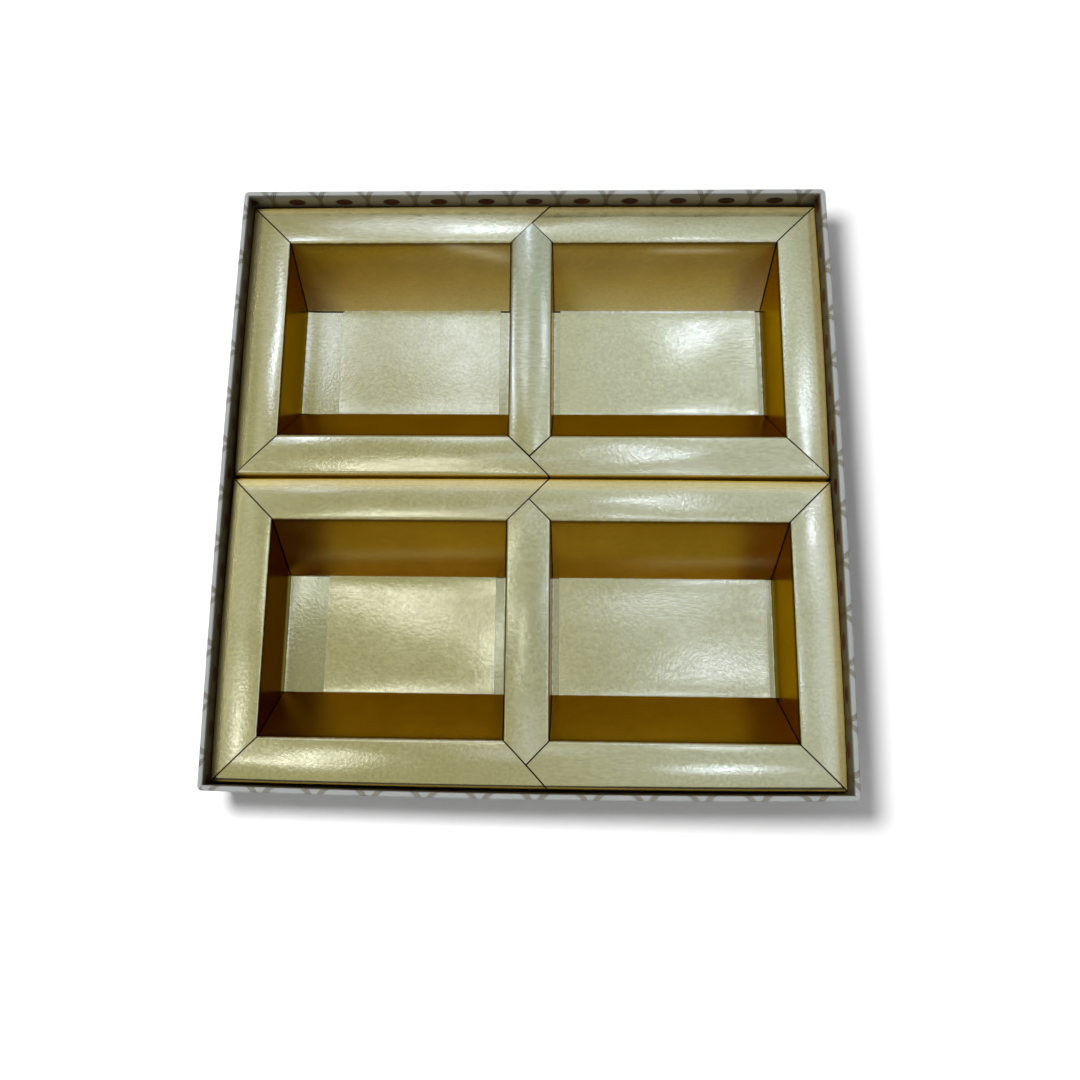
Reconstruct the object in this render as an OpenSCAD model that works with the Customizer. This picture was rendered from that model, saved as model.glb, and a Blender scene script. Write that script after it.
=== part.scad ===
// Base of a rigid gift box for dried fruit, open at the top. Two trays of folded gold board stand
// in it, one behind the other, and lift straight out. Each tray has two compartments.
// X points right, Y points back and Z up. The origin is under the middle of the box.
// Each tray is folded from three strips of board, and each strip is cut into its flat panels here.

/* [Box] */
// Width from left to right, measured at the corners
box_w = 205.6; // [160:0.1:300]
// Depth from front to back, measured at the corners
box_d = 207.5; // [170:0.1:300]
// Height of the box
box_h = 32; // [26:0.5:60]
// Thickness of the greyboard floor and walls
board_t = 1.3; // [1:0.1:3]
// Radius of the wrapped outer corners
corner_r = 1.6; // [0.6:0.1:4]
// How far each side wall bows outwards at its middle
side_bow = 0.7; // [0:0.1:3]
// How far the front wall bows outwards at its middle
front_bow = 1.1; // [0:0.1:3]

/* [Papers] */
// Thickness of the printed wrap and of the sheet under the box
paper_t = 0.2; // [0.1:0.05:0.3]
// How far the wrap is turned in below the rim
turn_in = 15; // [4:0.5:20]
// Thickness of the liner on the floor
liner_t = 0.15; // [0.1:0.05:0.4]
// Space between the liner and the walls
liner_margin = 0.6; // [0.2:0.1:5]
// Thickness of the paper stays at the corners
stay_t = 0.15; // [0.1:0.05:0.3]
// Width of each leg of a stay
stay_leg = 18; // [8:0.5:30]

/* [Trays] */
// Thickness of the gold board
foil_t = 0.4; // [0.3:0.05:0.6]
// How far the tray rims lie below the rim of the box
rim_drop = 6.2; // [2:0.1:12]
// Width of the rims
rim_w = 14.1; // [8:0.1:20]
// How far a rim falls from its inner crease to its outer edge
rim_roll = 0.9; // [0:0.1:1.5]
// Radius of the outer fold between a rim and its skirt
fold_r = 1; // [0.8:0.1:2]
// Width of the divider between the two compartments of a tray
divider_w = 14.6; // [8:0.1:20]
// How far the middle of the divider stands above its creases
divider_crown = 0.4; // [0:0.1:1.5]
// How far the front and rear walls of a compartment lean in at the floor
end_lean = 15.9; // [2:0.1:18]
// How far the outer side wall of a compartment leans in at the floor
side_lean = 1.6; // [0:0.1:6]
// How far the divider widens down to the floor, on each side
divider_lean = 0.95; // [0:0.05:5]

/* [Floor panels] */
// Distance from the left wall to the panel in a left compartment
left_panel_outer = 14; // [1:0.5:20]
// Distance from the divider to the panel in a left compartment
left_panel_inner = 3.5; // [0.5:0.5:12]
// Distance from the right wall to the panel in a right compartment
right_panel_outer = 2; // [0.5:0.5:20]
// Distance from the divider to the panel in a right compartment
right_panel_inner = 2.5; // [0.5:0.5:12]

/* [Clearances] */
// Space between the trays and the side walls, at the corners of the box
side_gap = 0.2; // [0.1:0.1:2]
// Space between the trays and the front and rear walls, at the corners of the box
end_gap = 0.85; // [0.3:0.05:3]
// Space between the two trays
tray_gap = 1.3; // [0.4:0.1:4]
// Space between a tray and the liner that it rests on
rest_gap = 0.1; // [0.05:0.05:0.5]
// Width of the slit between mitred rims, along the rim
mitre_gap = 0.5; // [0.1:0.1:1.5]
// Space between the ends of a sloping wall and the walls beside it
panel_gap = 0.15; // [0.05:0.05:1]

/* [Hidden] */

// Colours
paper_color = [0.88, 0.87, 0.84];
board_color = [0.55, 0.52, 0.48];
stay_color = [0.66, 0.52, 0.36];
liner_color = [0.93, 0.92, 0.88];
gold_color = [0.80, 0.76, 0.55];
deep_gold_color = [0.62, 0.50, 0.20];

// Sides of the box and of a compartment, as signs along X and Y
left = -1;
right = 1;
front = -1;
back = 1;

// Steps along a bowed wall, round a corner, across a rim and round the outer fold
bow_steps = 16;
corner_steps = 4;
crown_steps = 10;
fold_steps = 5;
// The crown of a rim falls with this power of the distance from its inner crease
crown_power = 3;
// Length by which cuts run past what they cut
overrun = 1;

// Thickness of a finished wall: board with paper on both faces
wall_t = board_t + 2 * paper_t;
// Place of the corners' middle, so that the origin lies under the middle of the bowed outline
middle_y = front_bow / 2;
// Inner face of the greyboard, moved in from the outline, and its top face on the floor
board_in = paper_t + board_t;
board_top = paper_t + board_t;
liner_top = board_top + liner_t;

// Sizes of one tray
tray_w = box_w - 2 * (wall_t + side_gap);
tray_d = (box_d - 2 * (wall_t + end_gap) - tray_gap) / 2;
// Heights of a tray: underside, top of its floor, top of the panel on it, and rim
tray_z = liner_top + rest_gap;
floor_z = tray_z + foil_t;
panel_z = floor_z + foil_t;
rim_z = box_h - rim_drop;
wall_h = rim_z - floor_z;
// Places of the creases between the rims and the walls, from the middle of the tray
crease_x = tray_w / 2 - rim_w;
crease_y = tray_d / 2 - rim_w;

// Outwards bow at a place along a wall, which runs from -1 at one corner to 1 at the other
function bow(place, height) = height * (1 - place * place);
// Place along a wall at one of its steps
function place_at(step) = 2 * step / bow_steps - 1;

// Points of the bowed outline with rounded corners, moved in by inset, anticlockwise
function outline(inset) =
    let (
        half_w = box_w / 2 - inset,
        half_d = box_d / 2 - inset,
        r = max(corner_r - inset, 0),
        last = r > 0 ? bow_steps : bow_steps - 1,
        across = half_w - r,
        along = half_d - r
    )
    concat(
        [for (i = [0 : last]) let (p = place_at(i)) [p * across, middle_y - half_d - bow(p, front_bow)]],
        corner_points(across, middle_y - along, r, -90),
        [for (i = [0 : last]) let (p = place_at(i)) [half_w + bow(p, side_bow), middle_y + p * along]],
        corner_points(across, middle_y + along, r, 0),
        [for (i = [0 : last]) let (p = place_at(i)) [-p * across, middle_y + half_d]],
        corner_points(-across, middle_y + along, r, 90),
        [for (i = [0 : last]) let (p = place_at(i)) [-half_w - bow(p, side_bow), middle_y - p * along]],
        corner_points(-across, middle_y - along, r, 180)
    );

// Points inside the arc of one corner, without the arc's two ends
function corner_points(x, y, r, start) =
    r > 0
        ? [for (i = [1 : corner_steps - 1])
            let (a = start + 90 * i / corner_steps) [x + r * cos(a), y + r * sin(a)]]
        : [];

// A solid with the bowed outline, moved in by inset, between two heights
module slab(inset, low, high) {
    translate([0, 0, low])
        linear_extrude(high - low)
            polygon(outline(inset));
}

// A ring between two insets of the bowed outline
module ring(outer, inner, low, high) {
    difference() {
        slab(outer, low, high);
        slab(inner, low - overrun, high + overrun);
    }
}

module base_paper() {
    color(liner_color)
        slab(paper_t, 0, paper_t);
}

module floor_board() {
    color(board_color)
        slab(paper_t, paper_t, board_top);
}

// The four corners' own regions, each as wide as a leg of a stay
module corner_regions() {
    for (sx = [left, right], sy = [front, back])
        translate([sx * box_w / 2, middle_y + sy * box_d / 2, box_h / 2])
            cube([2 * stay_leg, 2 * stay_leg, 2 * box_h], center = true);
}

// The paper stays lie in the outer face of the wall boards, under the wrap
module stays() {
    intersection() {
        ring(paper_t, paper_t + stay_t, board_top, box_h - paper_t);
        corner_regions();
    }
}

module corner_stays() {
    color(stay_color)
        stays();
}

// All four greyboard walls, before they are parted at the corners
module wall_boards() {
    difference() {
        ring(paper_t, board_in, board_top, box_h - paper_t);
        stays();
    }
}

// The side walls run past the ends of the front and rear walls
module side_wall_board(side) {
    color(board_color)
        intersection() {
            wall_boards();
            translate([side * box_w, 0, box_h / 2])
                cube([box_w + 2 * board_in, 2 * box_d, 2 * box_h], center = true);
        }
}

module end_wall_board(end) {
    color(board_color)
        intersection() {
            wall_boards();
            translate([0, middle_y + end * box_d / 2, box_h / 2])
                cube([box_w - 2 * board_in, box_d / 2, 2 * box_h], center = true);
        }
}

// The printed wrap goes up the outside, over the rim and down the inside by the turn-in
module side_wrap() {
    color(paper_color)
        union() {
            ring(0, paper_t, 0, box_h);
            ring(0, wall_t, box_h - paper_t, box_h);
            ring(board_in, wall_t, box_h - turn_in, box_h);
        }
}

module floor_liner() {
    color(liner_color)
        slab(board_in + liner_margin, board_top, liner_top);
}

// Height of a rim's top face at a distance outwards from its inner crease
function crown_z(u) = rim_z - rim_roll * pow(max(u, 0) / rim_w, crown_power);
// Place of a wall's visible face at a height, from the crease outwards
function face_u(lean, z) = -lean * (rim_z - z) / wall_h;
// Thickness of a leaning wall, measured level
function level_t(lean) = foil_t * norm([wall_h, lean]) / wall_h;

// Rim and skirt in section, with the distance from the inner crease and the height
function rim_section(lean) = concat(
    [for (i = [0 : crown_steps])
        let (u = (rim_w - fold_r) * i / crown_steps) [u, crown_z(u)]],
    [for (i = [1 : fold_steps])
        let (a = 90 * i / fold_steps, u = rim_w - fold_r * (1 - sin(a)))
        [u, crown_z(u) - fold_r * (1 - cos(a))]],
    [[rim_w, tray_z], [rim_w - foil_t, tray_z]],
    [for (i = [fold_steps : -1 : 1])
        let (a = 90 * i / fold_steps, r = fold_r - foil_t, u = rim_w - fold_r + r * sin(a))
        [u, crown_z(u) - foil_t - r * (1 - cos(a))]],
    [for (i = [crown_steps : -1 : 1])
        let (u = (rim_w - fold_r) * i / crown_steps) [u, crown_z(u) - foil_t]],
    [[face_u(lean, rim_z - foil_t), rim_z - foil_t]]
);

// One wall in section: a leaning plate that stands on the tray floor, under the rim
function wall_section(lean) =
    let (top = rim_z - foil_t, t = level_t(lean))
    [
        [face_u(lean, top), top], [face_u(lean, floor_z), floor_z],
        [face_u(lean, floor_z) + t, floor_z], [face_u(lean, top) + t, top]
    ];

// A section carried along Y, with its distances along X
module bar(section, length) {
    rotate([90, 0, 0])
        linear_extrude(length, center = true)
            polygon(section);
}

// A plan outline made as high as the whole box, to cut pieces with
module plan(points) {
    linear_extrude(box_h)
        polygon(points);
}

// Left or right rim with its skirt, mitred at both ends
module side_rim(side) {
    x = crease_x - overrun;
    y = crease_y - overrun - mitre_gap / 2;
    reach = rim_w + 2 * overrun;
    color(gold_color)
        on_side(side)
            intersection() {
                translate([crease_x, 0, 0])
                    bar(rim_section(side_lean), tray_d + 2 * overrun);
                plan([[x, -y], [x + reach, -y - reach], [x + reach, y + reach], [x, y]]);
            }
}

// Draws what is made for the right side on either side
module on_side(side) {
    if (side > 0)
        children();
    else
        mirror([1, 0, 0])
            children();
}

// Draws what is made for the back at either end
module at_end(end) {
    if (end > 0)
        children();
    else
        mirror([0, 1, 0])
            children();
}

// Section carried along X at the back of the tray, with its distances along Y
module cross_bar(section) {
    translate([0, crease_y, 0])
        rotate([0, 0, 90])
            bar(section, tray_w + 2 * overrun);
}

// Front or back rim of the left strip. Its inner end is one full mitre past the divider's point.
module left_cross_rim(end) {
    inner_y = crease_y - overrun;
    outer_y = tray_d / 2 + overrun;
    reach = rim_w + 2 * overrun;
    outer_x = -crease_x + overrun + mitre_gap / 2;
    inner_x = -divider_w / 2 - overrun - mitre_gap / 2;
    color(gold_color)
        at_end(end)
            intersection() {
                cross_bar(rim_section(end_lean));
                plan([
                    [outer_x, inner_y], [inner_x, inner_y],
                    [inner_x + reach, outer_y], [outer_x - reach, outer_y]
                ]);
            }
}

// Front or back rim of the right strip. Its inner end points at the tip of the divider.
module right_cross_rim(end) {
    inner_y = crease_y - overrun;
    outer_y = tray_d / 2 + overrun;
    tip_x = mitre_gap / 2;
    tip_y = crease_y + divider_w / 2;
    reach = rim_w + 2 * overrun;
    outer_x = crease_x - overrun - mitre_gap / 2;
    color(gold_color)
        at_end(end)
            intersection() {
                cross_bar(rim_section(end_lean));
                plan([
                    [tip_x + tip_y - inner_y, inner_y], [outer_x, inner_y],
                    [outer_x + reach, outer_y], [tip_x + outer_y - tip_y, outer_y], [tip_x, tip_y]
                ]);
            }
}

module side_wall(side) {
    color(deep_gold_color)
        on_side(side)
            translate([crease_x, 0, 0])
                bar(wall_section(side_lean), 2 * crease_y);
}

// Clear space of the right compartment in section across X, less a gap beside its walls
module compartment_section(gap) {
    low_out = crease_x - side_lean - gap;
    low_in = divider_w / 2 + divider_lean + gap;
    polygon([
        [low_in, floor_z], [low_out, floor_z],
        [crease_x - gap, rim_z], [divider_w / 2 + gap, rim_z]
    ]);
}

// Sloping front or back wall of one compartment, fitted between its side walls
module cross_wall(side, end) {
    color(deep_gold_color)
        on_side(side)
            at_end(end)
                intersection() {
                    cross_bar(wall_section(end_lean));
                    rotate([90, 0, 0])
                        linear_extrude(tray_d, center = true)
                            compartment_section(panel_gap);
                }
}

// Floor of the long strip in one compartment, which runs under the walls beside it
module strip_floor(side) {
    x_in = divider_w / 2 + divider_lean - level_t(divider_lean);
    x_out = crease_x - side_lean + level_t(side_lean);
    color(gold_color)
        on_side(side)
            translate([x_in, -crease_y, tray_z])
                cube([x_out - x_in, 2 * crease_y, foil_t]);
}

// Panel of a cross strip that lies on the floor, from one sloping wall to the other
module floor_panel(side, outer, inner) {
    low_y = crease_y + face_u(end_lean, floor_z);
    high_y = crease_y + face_u(end_lean, panel_z);
    x_in = divider_w / 2 + divider_lean + inner;
    x_out = crease_x - side_lean - outer;
    color(gold_color)
        on_side(side)
            translate([x_in, 0, 0])
                rotate([90, 0, 90])
                    linear_extrude(x_out - x_in)
                        polygon([
                            [-low_y, floor_z], [low_y, floor_z],
                            [high_y, panel_z], [-high_y, panel_z]
                        ]);
}

// Upside-down channel in section: two leaning sides under a crowned top
function divider_section() =
    let (
        half = divider_w / 2,
        foot = half + divider_lean,
        t = level_t(divider_lean),
        shoulder = half - face_u(divider_lean, rim_z - foil_t) - t
    )
    concat(
        [[foot, floor_z]],
        [for (i = [0 : crown_steps])
            let (p = 1 - 2 * i / crown_steps) [p * half, rim_z + bow(p, divider_crown)]],
        [
            [-foot, floor_z], [t - foot, floor_z],
            [-shoulder, rim_z - foil_t], [shoulder, rim_z - foil_t], [foot - t, floor_z]
        ]
    );

// The divider's top runs to a point at both ends, and its sides stop at the creases
module divider() {
    y = crease_y - mitre_gap / 2;
    half = divider_w / 2;
    color(gold_color)
        intersection() {
            bar(divider_section(), tray_d);
            union() {
                translate([0, 0, rim_z - foil_t])
                    plan([
                        [half, y], [0, y + half], [-half, y],
                        [-half, -y], [0, -y - half], [half, -y]
                    ]);
                translate([-tray_w / 2, -crease_y, 0])
                    cube([tray_w, 2 * crease_y, rim_z - foil_t]);
            }
        }
}

// Places a tray piece in the rear or in the front half of the box
module rear_tray() {
    translate([0, middle_y + (tray_d + tray_gap) / 2, 0])
        children();
}

module front_tray() {
    translate([0, middle_y - (tray_d + tray_gap) / 2, 0])
        children();
}

base_paper();
floor_board();
end_wall_board(front);  // front_wall_board
end_wall_board(back);  // rear_wall_board
side_wall_board(left);  // left_wall_board
side_wall_board(right);  // right_wall_board
corner_stays();
side_wrap();
floor_liner();

rear_tray() side_rim(left);  // rear_tray_left_rim
rear_tray() side_rim(right);  // rear_tray_right_rim
rear_tray() side_wall(left);  // rear_tray_left_wall
rear_tray() side_wall(right);  // rear_tray_right_wall
rear_tray() strip_floor(left);  // rear_tray_left_floor
rear_tray() strip_floor(right);  // rear_tray_right_floor
rear_tray() divider();  // rear_tray_divider
rear_tray() left_cross_rim(back);  // rear_tray_back_left_rim
rear_tray() right_cross_rim(back);  // rear_tray_back_right_rim
rear_tray() left_cross_rim(front);  // rear_tray_front_left_rim
rear_tray() right_cross_rim(front);  // rear_tray_front_right_rim
rear_tray() cross_wall(left, back);  // rear_tray_back_left_wall
rear_tray() cross_wall(right, back);  // rear_tray_back_right_wall
rear_tray() cross_wall(left, front);  // rear_tray_front_left_wall
rear_tray() cross_wall(right, front);  // rear_tray_front_right_wall
rear_tray() floor_panel(left, left_panel_outer, left_panel_inner);  // rear_tray_left_panel
rear_tray() floor_panel(right, right_panel_outer, right_panel_inner);  // rear_tray_right_panel

front_tray() side_rim(left);  // front_tray_left_rim
front_tray() side_rim(right);  // front_tray_right_rim
front_tray() side_wall(left);  // front_tray_left_wall
front_tray() side_wall(right);  // front_tray_right_wall
front_tray() strip_floor(left);  // front_tray_left_floor
front_tray() strip_floor(right);  // front_tray_right_floor
front_tray() divider();  // front_tray_divider
front_tray() left_cross_rim(back);  // front_tray_back_left_rim
front_tray() right_cross_rim(back);  // front_tray_back_right_rim
front_tray() left_cross_rim(front);  // front_tray_front_left_rim
front_tray() right_cross_rim(front);  // front_tray_front_right_rim
front_tray() cross_wall(left, back);  // front_tray_back_left_wall
front_tray() cross_wall(right, back);  // front_tray_back_right_wall
front_tray() cross_wall(left, front);  // front_tray_front_left_wall
front_tray() cross_wall(right, front);  // front_tray_front_right_wall
front_tray() floor_panel(left, left_panel_outer, left_panel_inner);  // front_tray_left_panel
front_tray() floor_panel(right, right_panel_outer, right_panel_inner);  // front_tray_right_panel
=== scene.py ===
# %% [markdown]
# # A dried fruit box
#
# The real object is the base of a rigid gift box: greyboard walls wrapped in printed paper, and
# two loose trays folded from gold board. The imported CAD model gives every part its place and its
# size. This script dresses it with folded strips and a paper wrap, and gives each surface a
# finish made of nodes.

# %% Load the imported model
import math

import bpy
import numpy as np
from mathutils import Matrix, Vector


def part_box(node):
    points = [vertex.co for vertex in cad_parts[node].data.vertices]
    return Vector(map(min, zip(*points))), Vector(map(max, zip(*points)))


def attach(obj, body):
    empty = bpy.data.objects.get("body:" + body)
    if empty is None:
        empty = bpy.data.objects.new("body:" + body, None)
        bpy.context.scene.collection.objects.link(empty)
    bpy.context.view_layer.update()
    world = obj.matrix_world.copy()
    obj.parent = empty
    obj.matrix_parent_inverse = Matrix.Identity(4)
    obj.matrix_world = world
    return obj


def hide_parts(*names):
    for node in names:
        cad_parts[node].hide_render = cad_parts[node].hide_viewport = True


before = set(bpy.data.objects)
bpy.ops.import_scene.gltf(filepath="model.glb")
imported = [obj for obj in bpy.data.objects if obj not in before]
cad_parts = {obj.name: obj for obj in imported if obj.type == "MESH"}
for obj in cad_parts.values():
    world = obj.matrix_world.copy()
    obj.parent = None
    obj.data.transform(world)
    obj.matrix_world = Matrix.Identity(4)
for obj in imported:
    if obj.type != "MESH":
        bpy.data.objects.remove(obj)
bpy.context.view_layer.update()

# %% [markdown]
# ## Sizes
#
# The sizes of the part's source, in millimetres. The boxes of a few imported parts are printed
# beside them, so that a slip shows at once.

# %% Sizes of the box and of a tray
BOX_W, BOX_D, BOX_H = 205.6, 207.5, 32.0
CORNER_R, SIDE_BOW, FRONT_BOW = 1.6, 0.7, 1.1
BOARD_T, PAPER_T, TURN_IN = 1.3, 0.2, 15.0
WALL_T = BOARD_T + 2 * PAPER_T
MIDDLE_Y = FRONT_BOW / 2

FOIL_T = 0.4
TRAY_W, TRAY_D = 201.8, 100.55
TRAY_Y = {"rear": 51.475, "front": -50.375}
TRAY_Z, FLOOR_Z, PANEL_Z, RIM_Z = 1.75, 2.15, 2.55, 25.8
RIM_W, DIVIDER_W = 14.1, 14.6
END_LEAN, SIDE_LEAN, DIVIDER_LEAN = 15.9, 1.6, 0.95
PANEL_EDGES = {"left": (14.0, 3.5), "right": (2.0, 2.5)}
# Half the slit between two strips along a mitre
SLIT = 0.15

CREASE_X = TRAY_W / 2 - RIM_W
CREASE_Y = TRAY_D / 2 - RIM_W
HALF_DIVIDER = DIVIDER_W / 2
WALL_H = RIM_Z - FLOOR_Z

for part in ("rear_tray_left_rim", "rear_tray_left_panel", "front_tray_divider", "side_wrap"):
    low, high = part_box(part)
    print(part, [round(v * 1000, 2) for v in low], [round(v * 1000, 2) for v in high])

# %% [markdown]
# ## Camera
#
# The view is a phone's, held above the box and turned a little towards its rear. Place, turn and
# focal length come from matching corners of the trays with the photograph.

# %% Camera
PHOTO_PIXELS = 1080
FOCAL_PIXELS = 947.93
CENTRE_PIXEL = 512.33
SENSOR_MM = 36.0


def new_object(name, data):
    """Puts a mesh, a lamp or a camera into the scene."""
    made = bpy.data.objects.new(name, data)
    bpy.context.scene.collection.objects.link(made)
    return made


camera_data = bpy.data.cameras.new("camera")
camera_data.sensor_width = SENSOR_MM
camera_data.lens = FOCAL_PIXELS / PHOTO_PIXELS * SENSOR_MM
camera_data.shift_x = 0.5 - CENTRE_PIXEL / PHOTO_PIXELS
camera_data.clip_start = 0.01
camera = new_object("camera", camera_data)
camera.location = (0.005243, -0.086204, 0.334807)
camera.rotation_euler = (0.2081, 0.0312, 0.0145)
bpy.context.scene.camera = camera
print("camera lens", round(camera_data.lens, 2), "mm, shift", round(camera_data.shift_x, 4))

# %% [markdown]
# ## From a grid of points to a closed sheet
#
# Board and paper are thin sheets: a grid of points on the good face, and the same grid pushed
# back by the thickness. A cell of the grid can be left out, which cuts the sheet to shape. Every
# border gets a strip of side faces, so the sheet is closed.

# %% Closed sheets
GOOD_FACE, CUT_SIDE, REVERSE = 1.0, 0.5, 0.0
SHARP_DEGREES = 38
MILLIMETRE = 0.001


def sheet_mesh(name, good, rear, cells, ring=False):
    """Builds a closed sheet. good and rear are (rows, columns, 3) points in millimetres, and
    cells is a (rows - 1, columns - 1) mask. With ring, the last column joins the first, and the
    mask has as many columns as the grid. Returns the object, then for each corner of each face
    its row, its column and the column of its cell, and last the grid points that are in use."""
    rows, columns = good.shape[:2]
    i, j = np.nonzero(cells)
    step = np.array([[0, 0], [1, 0], [1, 1], [0, 1]])
    corner_row = i[:, None] + step[:, 0]
    corner_col = j[:, None] + step[:, 1]
    number = corner_row * columns + corner_col % columns
    offset = rows * columns
    beside = np.zeros((rows + 1, cells.shape[1] + 2), bool)
    beside[1:-1, 1:-1] = cells
    if ring:
        beside[1:-1, 0], beside[1:-1, -1] = cells[:, -1], cells[:, 0]
    faces, kinds, at_row, at_col, at_cell = [], [], [], [], []

    def keep(face, kind, row, col, cell):
        faces.append(face)
        kinds.append(np.full(len(face), kind))
        at_row.append(row)
        at_col.append(col)
        at_cell.append(np.repeat(cell[:, None], 4, 1))

    keep(number, GOOD_FACE, corner_row, corner_col, j)
    keep(number[:, ::-1] + offset, REVERSE, corner_row[:, ::-1], corner_col[:, ::-1], j)
    for a, b, di, dj in ((0, 1, 0, -1), (1, 2, 1, 0), (2, 3, 0, 1), (3, 0, -1, 0)):
        open_side = ~beside[i + 1 + di, j + 1 + dj]
        edge = number[open_side][:, [b, a]]
        side = np.concatenate([edge, edge[:, ::-1] + offset], 1)
        row, col = (at[open_side][:, [b, a, a, b]] for at in (corner_row, corner_col))
        keep(side, CUT_SIDE, row, col, j[open_side])
    faces, kinds = np.concatenate(faces), np.concatenate(kinds)
    points = np.concatenate([good.reshape(-1, 3), rear.reshape(-1, 3)]) * MILLIMETRE
    used, faces = np.unique(faces, return_inverse=True)
    points, faces = points[used], faces.reshape(-1, 4)
    p = points[faces]
    # A sixth of the sum of a . (b x c) over all triangles, which is below 0 if they face inwards
    volume = sum(
        np.einsum("ij,ij->i", p[:, 0], np.cross(p[:, a], p[:, a + 1])).sum() for a in (1, 2)
    ) / 6
    maps = [np.concatenate(m) for m in (at_row, at_col, at_cell)]
    if volume < 0:
        faces, maps = faces[:, ::-1], [m[:, ::-1] for m in maps]
    mesh = bpy.data.meshes.new(name)
    mesh.from_pydata(points, [], faces)
    mesh.shade_smooth()
    mesh.set_sharp_from_angle(angle=math.radians(SHARP_DEGREES))
    side = mesh.attributes.new("good_side", "FLOAT", "FACE")
    side.data.foreach_set("value", kinds.astype(np.float32))
    piece = new_object(name, mesh)
    cubic_mm = round(abs(volume) / MILLIMETRE**3)
    print(name, len(points), "points,", len(faces), "faces, volume", cubic_mm, "mm3")
    return piece, maps, used

# %% Numbers at the points
def point_values(piece, used, shape, **values):
    """Stores named numbers for the points of a sheet, on both of its faces. Each one is an array
    that stretches to the shape of the grid."""
    for name, value in values.items():
        grid = np.broadcast_to(value, shape).ravel()
        both = np.concatenate([grid, grid])[used].astype(np.float32)
        piece.data.attributes.new(name, "FLOAT", "POINT").data.foreach_set("value", both)

# %% [markdown]
# ## A folded line
#
# A strip of board is one line in section: skirt, rim, wall, floor and so on. Each leg is drawn
# on its own, and then the legs are joined. A fold in board is never quite sharp, so the last bit
# of both legs is swapped for a short curve.

# %% Folded line
FOLD_STEPS = 8
# Points of a leg nearer to a fold than this many cuts are left out
CUT_REACH = 1.2


def folded_line(legs, cuts):
    """Joins legs, each an array of (across, up) points, into one line. At a fold with corner C,
    the cut's length of both legs makes way for (1-t)^2 A + 2t(1-t) C + t^2 B, which leaves
    leg one at A and meets leg two at B. Returns the points and each one's distance to a fold."""
    t = np.linspace(0, 1, FOLD_STEPS + 1)[:, None]
    line, folds = [], []
    for k, leg in enumerate(legs):
        kept = np.ones(len(leg), bool)
        if k:
            kept &= np.linalg.norm(leg - leg[0], axis=1) > cuts[k - 1] * CUT_REACH
        if k < len(cuts):
            kept &= np.linalg.norm(leg - leg[-1], axis=1) > cuts[k] * CUT_REACH
        line.append(leg[kept])
        if k < len(cuts):
            corner, after = leg[-1], legs[k + 1]
            back = (leg[-2] - corner) / np.linalg.norm(leg[-2] - corner)
            on = (after[1] - corner) / np.linalg.norm(after[1] - corner)
            a, b = corner + cuts[k] * back, corner + cuts[k] * on
            folds.append(sum(len(part) for part in line) + FOLD_STEPS // 2)
            line.append((1 - t) ** 2 * a + 2 * t * (1 - t) * corner + t**2 * b)
    line = np.concatenate(line)
    length = np.concatenate([[0], np.cumsum(np.linalg.norm(np.diff(line, axis=0), axis=1))])
    return line, np.abs(length[:, None] - length[folds]).min(1)


def line_normals(line):
    """Unit normals of a line, a quarter turn to the left of its direction."""
    along = np.gradient(line, axis=0)
    along /= np.linalg.norm(along, axis=1)[:, None]
    return np.stack([-along[:, 1], along[:, 0]], 1)

# %% [markdown]
# ## The shape of a rim
#
# Seen from its end, a rim starts level at the inner crease and rolls down towards its outer
# fold. Folded board also sinks a little right beside a crease, which catches the light as a
# thin bright line. Each rim of the real trays differs slightly, so each gets its own roll.
# The outer folds also follow the walls of the box, which bow outwards.

# %% Rim in section
SINK, SINK_FADE = 0.12, 1.6


def rim_top(u, roll):
    """Height of a rim at distance u from its inner crease: a cubic roll down to the outer fold,
    less a sink beside the crease that fades as exp(-u / fade)."""
    return RIM_Z - roll * (u / RIM_W) ** 3 - SINK * np.exp(-u / SINK_FADE)


def skirt_and_rim(half, crease, u, along, roll):
    """A skirt and its rim in section, from the skirt's foot to the rim's inner crease."""
    skirt = np.array([-half, TRAY_Z]) + along * [0, rim_top(RIM_W, roll) - TRAY_Z]
    return [skirt, np.stack([-crease - u, rim_top(u, roll)], 1)]


def mirrored(legs):
    """The same legs on the other side, in the order in which the line goes on."""
    return [leg[::-1] * [-1, 1] for leg in legs[::-1]]

# %% Waves
WAVE_SIZE, WAVE_LENGTH = 0.1, 46.0
# A wave starts this far from a fold, and a floor keeps only a share of it, raised a little
WAVE_START, FLOOR_LIFT = 6.0, 0.1


def waves(x, y, seed, to_fold, floor, floor_share):
    """Slow waves of a board, the mean of five cosines with seeded directions and phases. They
    fade out towards the folds, and on a floor they are weaker."""
    random = np.random.default_rng(seed)
    total, most = 0, 2.3
    for k in range(5):
        turn, phase = random.uniform(0, 2 * np.pi, 2)
        number = 2 * np.pi / (WAVE_LENGTH * random.uniform(0.6, 1.6))
        total = total + np.cos(number * (x * np.cos(turn) + y * np.sin(turn)) + phase) / (1 + k)
    wave = WAVE_SIZE * total / most * np.clip(to_fold / WAVE_START, 0, 1)[:, None]
    return np.where(floor[:, None], floor_share * (wave + FLOOR_LIFT), wave)

# %% Bow and curl
# How far the middle of an outer fold reaches past the straight tray
FOLD_BOW = {"rear": (0.0, 0.55), "front": (0.75, 0.4)}
SIDE_FOLD_BOW = 0.5


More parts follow.
